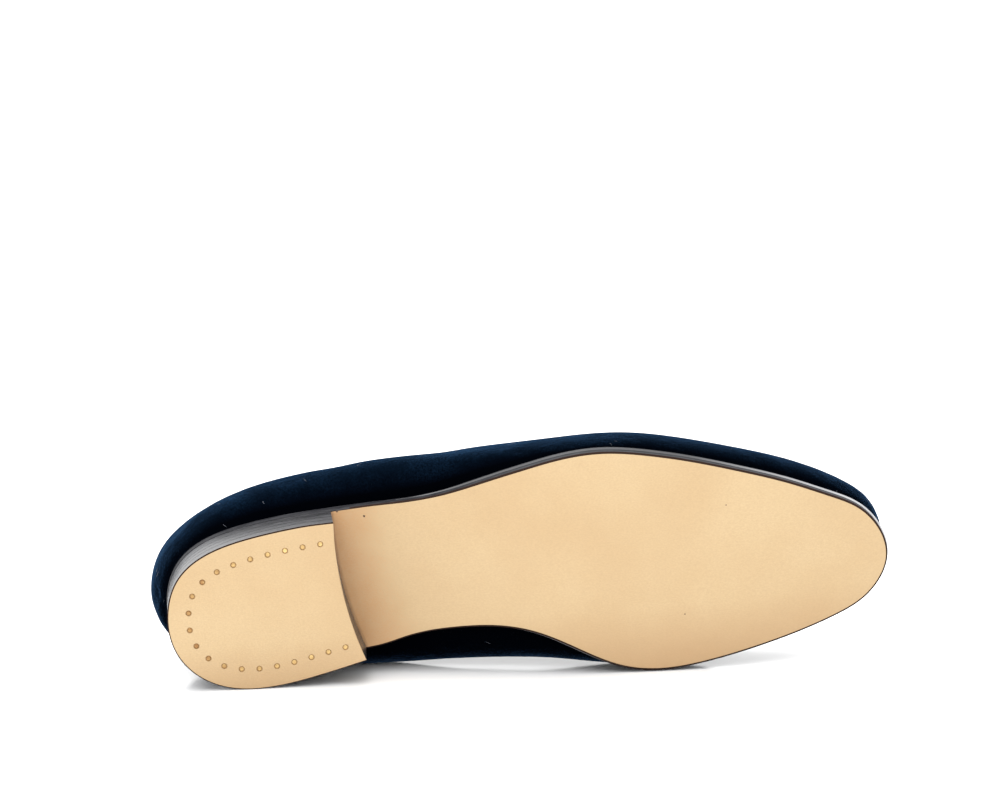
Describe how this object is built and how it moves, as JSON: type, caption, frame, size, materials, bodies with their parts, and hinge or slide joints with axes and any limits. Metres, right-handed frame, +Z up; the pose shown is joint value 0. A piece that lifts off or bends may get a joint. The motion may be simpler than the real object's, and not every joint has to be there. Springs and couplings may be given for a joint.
{
  "type": "velvet slipper loafer, right shoe",
  "caption": "Velvet slipper loafer for the right foot, lying on its inner side: leather sole, stacked heel with brass pins, open collar and tongue-shaped throat.",
  "frame": {"origin": "centre of the bounding box on the floor, with the shoe lying on its inner side", "axes": "+X towards the toe, -Y the way that the sole faces, +Z up from the floor to the outer side of the foot"},
  "size_m": [0.2746, 0.083, 0.0875],
  "materials": {
    "velvet": "navy cotton velvet, short pile, soft sheen",
    "sole_leather": "natural tan sole leather, smooth, lightly waxed",
    "insole_leather": "brown lining leather, matt",
    "painted_edge": "black edge paint, polished",
    "brass": "brushed brass pin heads"
  },
  "bodies": {
    "root": {"upper": "velvet", "insole": "insole_leather", "outsole": "sole_leather", "heel_top_piece": "sole_leather", "heel_lift_1": "painted_edge", "heel_lift_2": "painted_edge", "heel_lift_3": "painted_edge", "heel_pin_01": "brass", "heel_pin_02": "brass", "heel_pin_03": "brass", "heel_pin_04": "brass", "heel_pin_05": "brass", "heel_pin_06": "brass", "heel_pin_07": "brass", "heel_pin_08": "brass", "heel_pin_09": "brass", "heel_pin_10": "brass", "heel_pin_11": "brass", "heel_pin_12": "brass", "heel_pin_13": "brass", "heel_pin_14": "brass", "heel_pin_15": "brass", "heel_pin_16": "brass", "heel_pin_17": "brass", "heel_pin_18": "brass", "heel_pin_19": "brass", "heel_pin_20": "brass", "heel_pin_21": "brass"}
  },
  "joints": []
}
